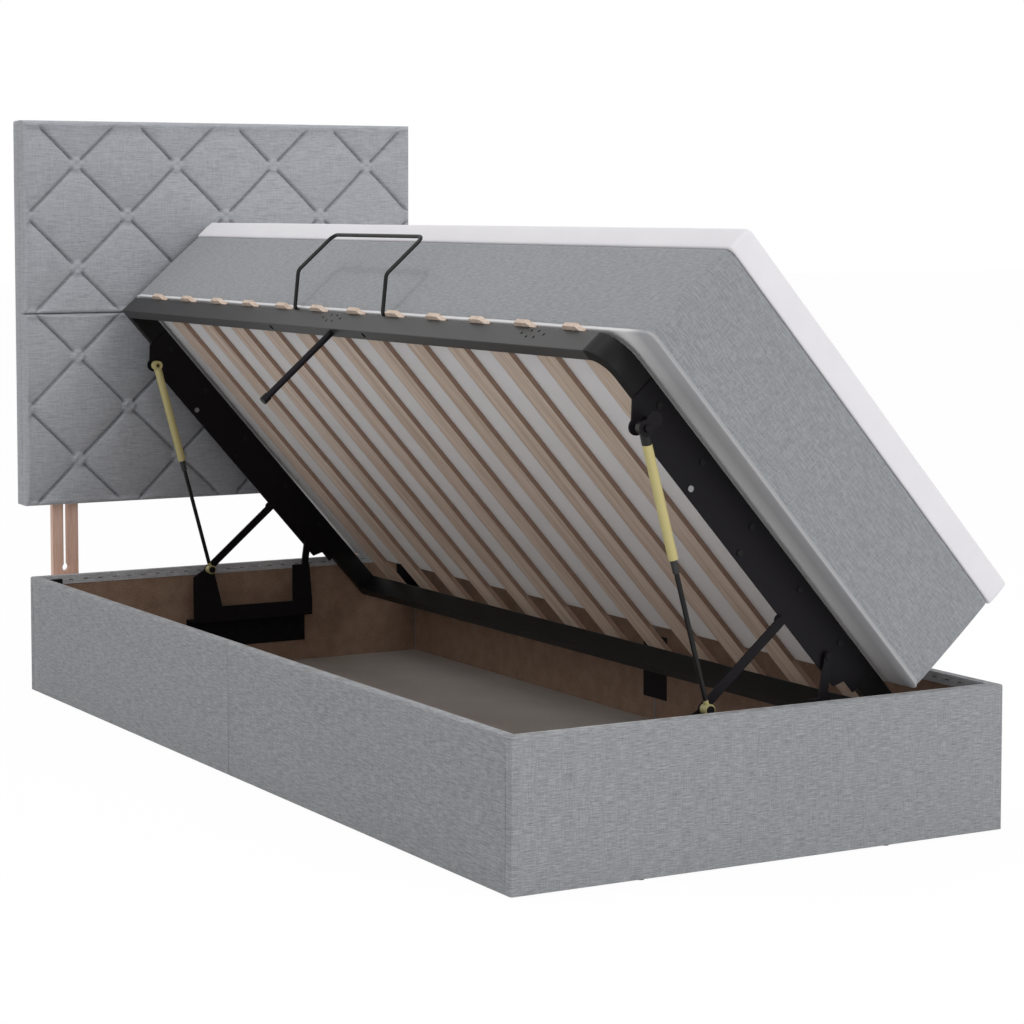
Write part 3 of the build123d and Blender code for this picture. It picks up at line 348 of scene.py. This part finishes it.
dress([f"{side}_board_{end}" for side in ("near", "far") for end in ("foot", "head")], boardWood)
dress(["foot_board", "head_board"], boardWood)
dress(["floor_panels", "headboard_board"], hardWood)
dress(["floor_battens", "headboard_battens"], battenWood)
dress(["headboard_leg_left", "headboard_leg_right", "leg_spacers"], beechWood)
dress([f"slat_{index:02d}" for index in range(1, 13)], slatWood)
dress(["near_rail"], nearRailLitPaint)
dress(["far_rail", "foot_rail", "head_rail"], railShadedPaint)
dress([f"{part}_{end}" for part in ("box_bracket", "lid_plate", "long_link", "short_link") for end in ("foot", "head")],
      blackSteel)
dress(["panel_brackets", "prop_rod"], blackSteel)
dress(["retainer_bow"], wirePaint)
dress(["strut_cylinder_head"], strutPaint)
dress(["strut_cylinder_foot"], footStrutPaint)
dress(["strut_rod_foot", "strut_rod_head"], rodSteel)
dress(["strut_collars", "glide_feet"], blackPlastic)
dress(["leg_bolts", "guide_bolts"], zincSteel)
dress(["rim_staples"], stapleWire)
dress(["lid_plate_bolts", "bracket_screws"], plateBolts)


def startBlock(name, low, high):
    bpy.ops.object.select_all(action="DESELECT")
    middle = [(a + b) / 2 for a, b in zip(low, high)]
    bpy.ops.mesh.primitive_cube_add(size=1, location=middle)
    piece = bpy.context.active_object
    piece.name = piece.data.name = name
    piece.scale = [b - a for a, b in zip(low, high)]
    bpy.ops.object.transform_apply(location=True, rotation=True, scale=True)
    bpy.ops.object.mode_set(mode="EDIT")
    return piece


def startSheet(name, columns, rows, width, height, turn):
    bpy.ops.object.select_all(action="DESELECT")
    bpy.ops.mesh.primitive_grid_add(x_subdivisions=columns, y_subdivisions=rows, size=1,
                                    location=(0, 0, 0), rotation=(math.radians(turn), 0, 0))
    piece = bpy.context.active_object
    piece.name = piece.data.name = name
    piece.scale = (width, height, 1)
    bpy.ops.object.transform_apply(location=True, rotation=True, scale=True)
    return piece


def choose(piece, kind, test):
    bpy.ops.mesh.select_mode(type=kind)
    bpy.ops.mesh.select_all(action="DESELECT")
    shape = bmesh.from_edit_mesh(piece.data)
    for part in {"EDGE": shape.edges, "FACE": shape.faces}[kind]:
        if test(part):
            part.select_set(True)
    bmesh.update_edit_mesh(piece.data)


hair = 0.0001  # two places this near are the same


def middleOf(edge):
    return (edge.verts[0].co + edge.verts[1].co) / 2


def runs(edge, axis):
    return abs((edge.verts[1].co - edge.verts[0].co).normalized()[axis]) > 0.9


def lies(edge, axis, place):
    return abs(middleOf(edge)[axis] - place) < hair


def faces(face, axis, sign):
    return face.normal[axis] * sign > 0.5


def bevelChosen(radius, segments):
    bpy.ops.mesh.bevel(offset=radius, segments=segments, affect="EDGES")


def drawOut(x, y, z):
    bpy.ops.mesh.extrude_region_move()
    bpy.ops.transform.translate(value=(x, y, z))


def cutAt(axis, places):
    for place in places:
        spot, normal = [0, 0, 0], [0, 0, 0]
        spot[axis], normal[axis] = place, 1
        bpy.ops.mesh.select_all(action="SELECT")
        bpy.ops.mesh.bisect(plane_co=spot, plane_no=normal)


def steps(low, high, size):
    count = max(1, round((high - low) / size))
    return [low + (high - low) * index / count for index in range(1, count)]


def closeMesh():
    bpy.ops.mesh.select_all(action="SELECT")
    bpy.ops.mesh.normals_make_consistent(inside=False)
    bpy.ops.object.mode_set(mode="OBJECT")


def moveVertices(piece, move):
    for vertex in piece.data.vertices:
        vertex.co = move(vertex.co)
    piece.data.update()


def addModifier(piece, kind, **settings):
    modifier = piece.modifiers.new(kind, kind)
    for name, value in settings.items():
        setattr(modifier, name, value)
    bpy.context.view_layer.objects.active = piece
    bpy.ops.object.modifier_apply(modifier=modifier.name)


def smooth(piece, degrees):
    bpy.ops.object.select_all(action="DESELECT")
    piece.select_set(True)
    bpy.context.view_layer.objects.active = piece
    bpy.ops.object.shade_smooth_by_angle(angle=math.radians(degrees))


def ease(low, high, value):
    t = min(max((value - low) / (high - low), 0), 1)
    return t * t * (3 - 2 * t)


def along(profile, value):
    for (a, first), (b, second) in zip(profile, profile[1:]):
        if value <= b:
            return first + (second - first) * max(value - a, 0) / (b - a)
    return profile[-1][1]


# mattress and topper are blocks with round corners whose walls follow draws: level and inset, both in mm
softLook = {"width": 0.757, "length": 2.0, "shift": 0.003, "grid": 0.04, "cornerSteps": 5, "wallStart": 0.9,
            "bend": 5, "ripple": 14, "rippleShare": 0.5, "gather": 45, "gatherRow": 3, "gatherReach": 0.03,
            "still": 1e-6}
mattressLook = {**softLook, "corner": 0.018, "low": 0.0, "high": 0.187, "wave": 0.0012, "pucker": 0.0006,
                "draws": [(0, 3), (0.9, 1.2), (2.2, 0.3), (3.6, 0.2), (4.8, 1.2), (5.8, 3.8), (7.2, 2), (16, 1.4),
                          (93, 0.3), (163, 1), (176, 1.4), (182, 1.2), (185.6, 2), (187, 4.6)],
                "under": 0.0005, "sag": 0.0006, "sagWave": 9, "underFacing": -0.35, "underTop": 0.0056,
                "smoothTo": 50}
topperLook = {**softLook, "corner": 0.010, "low": 0.1874, "high": 0.2326, "wave": 0.0010, "pucker": 0.0003,
              "draws": [(187.4, 3.5), (188.2, 1.6), (190, 0.5), (193, 0), (208, -0.4), (222, 0), (228.6, 0.4),
                        (231, 1.2), (232.1, 2.4), (232.6, 4.5)],
              "crownFrom": 0.226, "crown": 0.0012, "dimple": 0.0006, "dimpleWave": 6, "smoothTo": 60}


def softBlock(name, look):
    reach, inset, perMetre = look["length"] / 2, look["corner"], 1000
    low = (0, look["shift"] - reach, look["low"])
    high = (look["width"], look["shift"] + reach, look["high"])
    piece = startBlock(name, low, high)
    choose(piece, "EDGE", lambda edge: runs(edge, 2))
    bevelChosen(inset, look["cornerSteps"])
    for axis in (0, 1):
        cutAt(axis, steps(low[axis] + inset, high[axis] - inset, look["grid"]))
    cutAt(2, [level / perMetre for level, _ in look["draws"][1:-1]])
    bpy.ops.object.mode_set(mode="OBJECT")

    def shape(spot):
        coreX = min(max(spot.x, inset), look["width"] - inset)
        coreY = min(max(spot.y, low[1] + inset), high[1] - inset)
        out = Vector((spot.x - coreX, spot.y - coreY, 0))
        wall = ease(inset * look["wallStart"], inset, out.length)
        wander = noise.noise(spot * look["bend"]) * look["wave"]
        wander += noise.noise(spot * look["ripple"]) * look["wave"] * look["rippleShare"]
        edgeness = max(1 - min(spot.z - look["low"], look["high"] - spot.z) / look["gatherReach"], 0)
        gather = noise.noise(Vector((spot.x * look["gather"], spot.y * look["gather"], look["gatherRow"])))
        draw = along(look["draws"], spot.z * perMetre) / perMetre
        draw = draw + gather * look["pucker"] * edgeness - min(wander, 0)
        if out.length > look["still"]:
            spot = Vector((coreX, coreY, spot.z)) + out * (1 - wall * draw / out.length)
        return spot

    moveVertices(piece, shape)
    return piece


def layOnLid(piece, degrees):
    addModifier(piece, "SUBSURF", levels=1, render_levels=1)
    piece.data.transform(lidMatrix)
    smooth(piece, degrees)


mattress = softBlock("mattressBody", mattressLook)


def sagUnder(spot):
    if spot.z < mattressLook["under"]:  # the underside pads a little between the slats
        spot.z += mattressLook["sag"] * abs(noise.noise(spot * mattressLook["sagWave"]))
    return spot


moveVertices(mattress, sagUnder)
mattress.data.materials.append(borderWeave)
mattress.data.materials.append(underKnit)
for face in mattress.data.polygons:
    if face.normal.z < mattressLook["underFacing"] or face.center.z < mattressLook["underTop"]:
        face.material_index = 1
layOnLid(mattress, mattressLook["smoothTo"])
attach(mattress, "lid")
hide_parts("mattress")

topper = softBlock("topperPad", topperLook)


def crownTop(spot):
    half, reach = topperLook["width"] / 2, topperLook["length"] / 2
    if spot.z > topperLook["crownFrom"]:
        across, lengthwise = (spot.x - half) / half, (spot.y - topperLook["shift"]) / reach
        crown = max(1 - across ** 4, 0) * max(1 - lengthwise ** 8, 0)
        dimple = noise.noise(spot * topperLook["dimpleWave"])
        spot.z += topperLook["crown"] * crown + topperLook["dimple"] * dimple
    return spot


moveVertices(topper, crownTop)
topper.data.materials.append(topperKnit)
layOnLid(topper, topperLook["smoothTo"])
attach(topper, "lid")
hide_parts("topper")
print("mattress and topper ready")

# cloth round the sides and top of the headboard, behind the cushions
edgeLook = {"half": 0.4446, "low": 0.3765, "high": 1.1677, "front": 1.0521, "back": 1.0826, "thick": 0.004,
            "corner": 0.005, "cornerSteps": 4, "round": 0.0016, "roundSteps": 3, "smoothTo": 50, "board": 0.4364,
            "grid": 0.03, "innerShare": 0.8, "wander": 0.0004, "wanderWave": 7}


def fabricEdge(look):
    low, high = (-look["half"], look["front"], look["low"]), (look["half"], look["back"], look["high"])
    side, top = look["half"] - look["corner"], look["high"] - look["corner"]
    piece = startBlock("headboardEdge", low, high)
    choose(piece, "FACE", lambda face: faces(face, 1, 1) or faces(face, 1, -1) or faces(face, 2, -1))
    bpy.ops.mesh.delete(type="FACE")
    choose(piece, "EDGE", lambda edge: runs(edge, 1) and lies(edge, 2, look["high"]))
    bevelChosen(look["corner"], look["cornerSteps"])
    cutAt(2, steps(look["low"], top, look["grid"]))
    cutAt(0, steps(-side, side, look["grid"]))
    bpy.ops.object.mode_set(mode="OBJECT")
    addModifier(piece, "SOLIDIFY", thickness=look["thick"], offset=-1)
    addModifier(piece, "BEVEL", width=look["round"], segments=look["roundSteps"], limit_method="ANGLE",
                angle_limit=math.radians(look["smoothTo"]))

    def settle(spot):
        if look["board"] < abs(spot.x) < look["half"] - look["thick"] * look["innerShare"] and spot.z < top:
            spot.x = math.copysign(look["board"], spot.x)  # padded out to the board at the sides
        pull = math.copysign(look["wander"], spot.x) * noise.noise(spot * look["wanderWave"]) ** 2
        return spot - Vector((pull, 0, 0))

    moveVertices(piece, settle)
    piece.data.materials.append(edgeWeave)
    smooth(piece, look["smoothTo"])
    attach(piece, "headboard")


fabricEdge(edgeLook)

# headboard cushions: a fine sheet raised into diamonds between sewn creases, then drawn back to the board
cushionLook = {"half": 0.4447, "height": 0.3956, "front": 1.0242, "back": 1.052, "edge": 0.009, "step": 0.00212,
               "margin": 0.0003, "groove": 0.0078, "grooveWidth": 0.0024, "puff": 0.0068, "puffReach": 0.020,
               "puffShares": (0.45, 0.55), "knot": 0.017, "knotShares": (0.5, 1.1), "crown": 0.0022,
               "crumple": 0.0005, "crumpleWave": 120, "crumpleRow": 2, "crumpleReach": 0.012, "wave": 0.0006,
               "waveScale": 9, "waveRow": 5, "calmReach": 0.014, "hemStart": 0.25, "pull": 0.0008, "pullFrom": 0.8,
               "least": 0.006, "lip": 0.003, "lowerHem": 0.001, "upperHem": 0.022, "smoothTo": 60}


def quiltHeight(x, z):
    look = cushionLook
    x, z = x - quilt["offset"][0], z - quilt["offset"][1]
    p, q = (x / quilt["across"] + z / quilt["up"]) / 2, (x / quilt["across"] - z / quilt["up"]) / 2
    fall, rise = abs(p - round(p)) / quiltSlope, abs(q - round(q)) / quiltSlope
    knotX, knotZ = (round(p) + round(q)) * quilt["across"], (round(p) - round(q)) * quilt["up"]
    start, end = (share * look["knot"] for share in look["knotShares"])
    hub = ease(start, end, math.hypot(x - knotX, z - knotZ))
    least, rest = look["puffShares"]
    sink = 0
    for gap in (fall, rise):
        sink += hub * look["groove"] * math.exp(-((gap / look["grooveWidth"]) ** 2))
        sink += (least + rest * hub) * look["puff"] * math.exp(-gap / look["puffReach"])
    crumple = noise.noise(Vector((x * look["crumpleWave"], look["crumpleRow"], z * look["crumpleWave"])))
    crumple *= look["crumple"] * math.exp(-min(fall, rise) / look["crumpleReach"])
    wave = noise.noise(Vector((x * look["waveScale"], look["waveRow"], z * look["waveScale"])))
    return sink + crumple + look["wave"] * (1 + wave)


def quiltedCushion(name, bottom, node, hem):
    look = cushionLook
    half, tall = look["half"], look["height"] / 2
    middle = bottom + tall
    piece = startSheet(name, round(2 * half / look["step"]), round(look["height"] / look["step"]),
                       2 * half - 2 * look["margin"], look["height"] - 2 * look["margin"], 90)

    def raiseQuilt(spot):
        x, z = spot.x, spot.z
        edge = min(half - abs(x), tall - abs(z))
        turn = look["edge"]
        roll = turn - math.sqrt(max(turn ** 2 - max(turn - edge, 0) ** 2, 0))
        crown = look["crown"] * ((x / half) ** 2 + (z / tall) ** 4) / 2
        calm = ease(0, look["calmReach"], edge) * ease(hem * look["hemStart"], hem, tall - z)
        y = look["front"] + quiltHeight(x, z) * calm + roll + crown
        pull = look["pull"] * (1 - (z / tall) ** 2) * ease(half * look["pullFrom"], half, abs(x))
        return Vector((x - math.copysign(pull, x), min(y, look["back"] - look["least"]), z + middle))

    moveVertices(piece, raiseQuilt)
    bpy.ops.object.mode_set(mode="EDIT")
    choose(piece, "EDGE", lambda edge: edge.is_boundary)
    drawOut(0, look["lip"], 0)
    bpy.ops.mesh.extrude_region_move()
    shape = bmesh.from_edit_mesh(piece.data)
    for vertex in shape.verts:
        if vertex.select:
            vertex.co.y = look["back"]
    bmesh.update_edit_mesh(piece.data)
    bpy.ops.mesh.edge_face_add()
    closeMesh()
    piece.data.materials.append(boardWeave)
    smooth(piece, look["smoothTo"])
    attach(piece, "headboard")
    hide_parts(node)


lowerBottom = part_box("lower_cushion")[0].z
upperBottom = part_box("upper_cushion")[0].z
quiltedCushion("lowerCushion", lowerBottom, "lower_cushion", cushionLook["lowerHem"])
quiltedCushion("upperCushion", upperBottom, "upper_cushion", cushionLook["upperHem"])  # stays smooth along its top
print("headboard cushions ready")

# the box's upholstery: each panel goes up the outside, over the rim and down inside
# a rounded edge is given by its radius and steps
boxLook = {"outerX": 0.45, "outerY": 1.0, "low": 0.002, "high": 0.235, "wall": 0.018, "fold": 0.018, "cloth": 0.0011,
           "rimRound": (0.0045, 4), "foldRound": (0.002, 2), "endRimRound": (0.004, 4), "cornerRound": (0.0045, 4),
           "seamRound": (0.0016, 3), "seam": 0.0004, "seamNear": 0.01, "butt": 0.9832, "groove": 0.0012,
           "grooveRun": 0.0014, "grid": 0.03, "cutTop": 0.225, "swell": 0.0006, "bend": 4, "bendShare": 0.5,
           "ripple": 13, "rippleShare": 0.3, "slack": 0.5, "fadeReach": 0.03, "insideFrom": 0.014, "foldLow": 0.21,
           "smoothTo": 40}


def finishPanel(piece):
    look = boxLook
    closeMesh()

    def swell(spot):
        lift = noise.noise(spot * look["bend"]) * look["bendShare"]
        lift += noise.noise(spot * look["ripple"]) * look["rippleShare"]
        fade = ease(0, look["fadeReach"], spot.z) * ease(0, look["fadeReach"], look["high"] - spot.z)
        out = Vector((0, 0, 0))
        if abs(spot.x) > look["outerX"] - hair:
            out.x = -math.copysign(1, spot.x)
            if abs(abs(spot.y) - look["butt"]) < hair:  # the sewn seam by each corner
                lift += look["groove"] / look["swell"]
        elif abs(spot.y) > look["outerY"] - hair:
            out.y = -math.copysign(1, spot.y)
        return spot + out * (lift + look["slack"]) * look["swell"] * fade

    moveVertices(piece, swell)
    return piece


def sidePanel(name, side, start, end):
    look = boxLook
    outer, inner, top = side * look["outerX"], side * (look["outerX"] - look["wall"]), look["high"]
    piece = startBlock(name, (min(outer, inner), start, look["low"]), (max(outer, inner), end, top))
    choose(piece, "FACE", lambda face: faces(face, 2, -1) or faces(face, 0, -side))
    bpy.ops.mesh.delete(type="FACE")
    choose(piece, "EDGE", lambda edge: runs(edge, 1) and lies(edge, 0, inner) and lies(edge, 2, top))
    drawOut(0, 0, -look["fold"])
    choose(piece, "EDGE", lambda edge: runs(edge, 1) and lies(edge, 0, outer) and lies(edge, 2, top))
    bevelChosen(*look["rimRound"])
    choose(piece, "EDGE", lambda edge: runs(edge, 1) and lies(edge, 0, inner) and lies(edge, 2, top))
    bevelChosen(*look["foldRound"])
    choose(piece, "EDGE", lambda edge: runs(edge, 2) and lies(edge, 0, outer)
           and abs(middleOf(edge).y) < look["seamNear"])
    bevelChosen(*look["seamRound"])
    groove = look["butt"] - look["grooveRun"]
    cutAt(1, [-groove, groove] + steps(start, end, look["grid"]))
    cutAt(2, steps(look["grid"], look["cutTop"], look["grid"]))
    return finishPanel(piece)


def joinAs(name, pieces):
    bpy.ops.object.select_all(action="DESELECT")
    for piece in pieces:
        piece.select_set(True)
    bpy.context.view_layer.objects.active = pieces[0]
    bpy.ops.object.join()
    pieces[0].name = pieces[0].data.name = name
    return pieces[0]


def upholster(piece, node):
    addModifier(piece, "SOLIDIFY", thickness=boxLook["cloth"], offset=-1)
    piece.data.materials.append(boxWeave)
    piece.data.materials.append(foldLitWeave)
    edgeX, edgeY = boxLook["outerX"] - boxLook["insideFrom"], boxLook["outerY"] - boxLook["insideFrom"]
    # the inner fold faces take the lighter copy of the cloth, which is painted light
    for face in piece.data.polygons:
        inside = abs(face.center.x) < edgeX and abs(face.center.y) < edgeY
        face.material_index = 1 if inside and face.center.z > boxLook["foldLow"] else 0
    smooth(piece, boxLook["smoothTo"])
    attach(piece, "base")
    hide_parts(node)


for side, word in ((-1, "near"), (1, "far")):
    halves = [sidePanel(f"{word}PanelFoot", side, -boxLook["butt"], -boxLook["seam"]),
              sidePanel(f"{word}PanelHead", side, boxLook["seam"], boxLook["butt"])]
    upholster(joinAs(f"{word}Panel", halves), f"{word}_cover")


def endPanel(name, end):
    look = boxLook
    outer, inner, butt = end * look["outerY"], end * (look["outerY"] - look["wall"]), end * look["butt"]
    reachX, foldX, top = look["outerX"], look["outerX"] - look["wall"], look["high"]
    piece = startBlock(name, (-reachX, min(outer, butt), look["low"]), (reachX, max(outer, butt), top))
    choose(piece, "FACE", lambda face: faces(face, 2, -1) or faces(face, 1, -end))
    bpy.ops.mesh.delete(type="FACE")
    choose(piece, "EDGE", lambda edge: runs(edge, 2) and lies(edge, 1, outer))
    bevelChosen(*look["cornerRound"])
    choose(piece, "EDGE", lambda edge: lies(edge, 2, top) and not lies(edge, 1, butt) and len(edge.link_faces) == 2)
    bevelChosen(*look["endRimRound"])
    cutAt(0, [-foldX, foldX] + steps(-foldX, foldX, look["grid"]))
    choose(piece, "EDGE", lambda edge: edge.is_boundary and lies(edge, 2, top) and abs(middleOf(edge).x) < foldX)
    drawOut(0, inner - butt, 0)
    drawOut(0, 0, -look["fold"])
    cutAt(1, [butt + end * look["grooveRun"]])
    cutAt(2, steps(look["grid"], look["cutTop"], look["grid"]))
    return finishPanel(piece)


for end, word in ((-1, "foot"), (1, "head")):
    upholster(endPanel(f"{word}Panel", end), f"{word}_cover")
print("box upholstery ready")

# dark cloth stapled over the back of the headboard
backLook = {"node": "headboard_back_cloth", "columns": 88, "rows": 78, "thick": 0.0007, "pucker": 0.0005,
            "pitch": 0.05, "waveReach": 0.04, "edgeReach": 0.01, "slack": 0.5, "waveShare": 0.3, "creep": 8,
            "creepShare": 0.4, "smoothTo": 60}
lowBack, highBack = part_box(backLook["node"])
midBack = (lowBack.z + highBack.z) / 2
backCloth = startSheet("backCloth", backLook["columns"], backLook["rows"], highBack.x - lowBack.x,
                       highBack.z - lowBack.z, -90)


def pucker(spot):
    edge = min(highBack.x - abs(spot.x), (highBack.z - lowBack.z) / 2 - abs(spot.z))
    wave = math.sin((spot.x + spot.z) * 2 * math.pi / backLook["pitch"]) * math.exp(-edge / backLook["waveReach"])
    creep = noise.noise(spot * backLook["creep"])
    depth = backLook["slack"] + backLook["waveShare"] * wave + backLook["creepShare"] * creep
    depth *= backLook["pucker"] * ease(0, backLook["edgeReach"], edge)
    return Vector((spot.x, highBack.y - depth, spot.z + midBack))


moveVertices(backCloth, pucker)
addModifier(backCloth, "SOLIDIFY", thickness=backLook["thick"], offset=-1)
backCloth.data.materials.append(backFelt)
smooth(backCloth, backLook["smoothTo"])
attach(backCloth, "headboard")
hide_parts(backLook["node"])
print("headboard back ready")

# floor, light and a white surround
studio = {"ambient": 0.63, "floorSize": 60, "floorWhite": 0.94, "floorTones": (0.82, 0.86), "patches": (2, 2, 2),
          "glow": 1.015, "aim": (0, 0, 0.4)}
lamps = {"keyLamp": {"place": (1.2, -6.5, 4.2), "size": 3.5, "power": 158},
         "topLamp": {"place": (-0.8, 0.2, 5.5), "size": 1.1, "power": 56}}
bpy.ops.object.select_all(action="DESELECT")
bpy.ops.mesh.primitive_plane_add(size=studio["floorSize"], location=(0, 0, 0))
studioFloor = bpy.context.active_object
studioFloor.name = "studioFloor"
floorPaint = Paint(bpy.data.materials.new("studioFloor"))
spread = floorPaint.noise(floorPaint.place(), studio["patches"], 2)
darker, lighter = (grey(tone) for tone in studio["floorTones"])
matt = floorPaint.add("ShaderNodeBsdfDiffuse", {}, {"Color": floorPaint.mix(spread, darker, lighter)})
glow = floorPaint.add("ShaderNodeEmission", {}, {"Color": grey(1), "Strength": studio["glow"]})
share = floorPaint.rayShare() * studio["floorWhite"]
blend = floorPaint.add("ShaderNodeMixShader", {}, {0: share, 1: matt, 2: glow})
floorPaint.add("ShaderNodeOutputMaterial", {}, {"Surface": blend})
studioFloor.data.materials.append(floorPaint.owner)

surround = Paint(bpy.data.worlds.new("surround"))
scene.world = surround.owner
level = surround.rayShare().limit() * (1 - studio["ambient"]) + studio["ambient"]
sky = surround.add("ShaderNodeBackground", {}, {"Color": grey(1), "Strength": level})
surround.add("ShaderNodeOutputWorld", {}, {"Surface": sky})

for name, look in lamps.items():
    lampData = bpy.data.lights.new(name, "AREA")
    lampData.size, lampData.energy = look["size"], look["power"]
    lamp = bpy.data.objects.new(name, lampData)
    scene.collection.objects.link(lamp)
    lamp.location = look["place"]
    lamp.rotation_euler = (Vector(studio["aim"]) - Vector(look["place"])).to_track_quat("-Z", "Y").to_euler()
print("studio ready")
